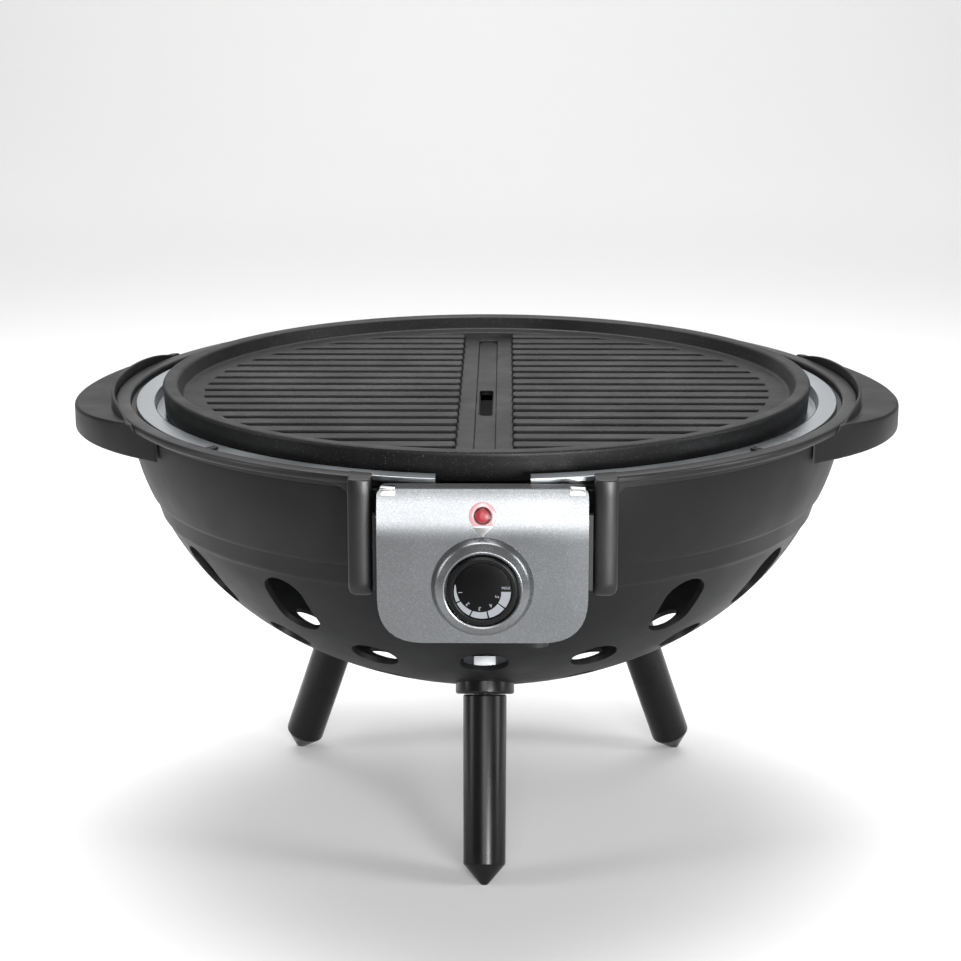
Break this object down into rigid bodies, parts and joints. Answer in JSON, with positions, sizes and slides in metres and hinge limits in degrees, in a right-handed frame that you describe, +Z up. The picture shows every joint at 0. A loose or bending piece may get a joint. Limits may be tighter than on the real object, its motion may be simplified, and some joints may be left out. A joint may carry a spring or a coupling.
{
  "type": "electric table grill",
  "caption": "Round kettle-shaped electric table grill on three screw-in legs, with ribbed plate, drip tray, side handles and a lift-out control and heating unit with a dial.",
  "frame": {"origin": "on the table, under the middle of the whole grill", "axes": "+Z up, +X to the right and -Y towards the cook, where the control panel is"},
  "size_m": [0.4386, 0.4091, 0.2375],
  "materials": {
    "bowl_plastic": "fine moulded grain, matt black",
    "collar_plastic": "satin black moulded",
    "handle_plastic": "fine moulded grain, matt black",
    "screw_steel": "zinc plated",
    "leg_plastic": "semi-gloss black moulded",
    "tray_metal": "satin pressed sheet",
    "housing_plastic": "matt black moulded",
    "neck_phenolic": "heat-proof phenolic",
    "panel_paint": "silver metallic paint, satin",
    "tab_metal": "bright",
    "surround_clear": "clear, tinted by the lamp",
    "lens_red": "deep red, glossy",
    "pointer_metal": "bright silver",
    "lamp_glass": "clear glass",
    "thermostat_ceramic": "unglazed",
    "element_steel": "heat-darkened tube",
    "bracket_steel": "plated strip",
    "gland_rubber": "matt",
    "knob_plastic": "satin black",
    "dial_print": "grey print",
    "plate_coating": "cast, black non-stick coating"
  },
  "bodies": {
    "bowl": {"bowl_shell": "bowl_plastic", "rim_collar": "collar_plastic", "handle_left": "handle_plastic", "handle_right": "handle_plastic", "handle_screws": "screw_steel", "rim_screws": "screw_steel", "tray_lugs": "collar_plastic", "leg_sockets": "leg_plastic", "socket_nuts": "screw_steel"},
    "tray": {"drip_tray": "tray_metal"},
    "control_unit": {"control_housing": "housing_plastic", "rear_cover": "housing_plastic", "neck_block": "neck_phenolic", "faceplate": "panel_paint", "faceplate_tabs": "tab_metal", "housing_screws": "screw_steel", "indicator_surround": "surround_clear", "indicator_lens": "lens_red", "pointer_mark": "pointer_metal", "neon_lamp": "lamp_glass", "thermostat": "thermostat_ceramic", "terminal_block": "thermostat_ceramic", "heating_element": "element_steel", "element_brackets": "bracket_steel", "cord_gland": "gland_rubber"},
    "dial": {"knob": "knob_plastic", "dial_scale": "dial_print", "thermostat_shaft": "screw_steel"},
    "plate": {"grill_plate": "plate_coating"},
    "leg_a": {"leg_front": "leg_plastic", "stud_front": "screw_steel"},
    "leg_b": {"leg_rear_right": "leg_plastic", "stud_rear_right": "screw_steel"},
    "leg_c": {"leg_rear_left": "leg_plastic", "stud_rear_left": "screw_steel"}
  },
  "joints": [
    {"name": "tray_lift", "type": "slide", "parent": "bowl", "child": "tray", "axis": [0, 0, 1], "range_m": [0, 0.06]},
    {"name": "control_lift", "type": "slide", "parent": "tray", "child": "control_unit", "axis": [0, 0, 1], "range_m": [0, 0.09]},
    {"name": "plate_lift", "type": "slide", "parent": "control_unit", "child": "plate", "axis": [0, 0, 1], "range_m": [0, 0.06]},
    {"name": "knob_turn", "type": "hinge", "parent": "control_unit", "child": "dial", "pos_m": [0, -0.2021, 0.1825], "axis": [0, 1, 0], "range_deg": [0, 265]},
    {"name": "leg_front_out", "type": "slide", "parent": "bowl", "child": "leg_a", "axis": [0, -0.3584, -0.9336], "range_m": [0, 0.016]},
    {"name": "leg_right_out", "type": "slide", "parent": "bowl", "child": "leg_b", "axis": [0.3104, 0.1792, -0.9336], "range_m": [0, 0.016]},
    {"name": "leg_left_out", "type": "slide", "parent": "bowl", "child": "leg_c", "axis": [-0.3104, 0.1792, -0.9336], "range_m": [0, 0.016]}
  ]
}
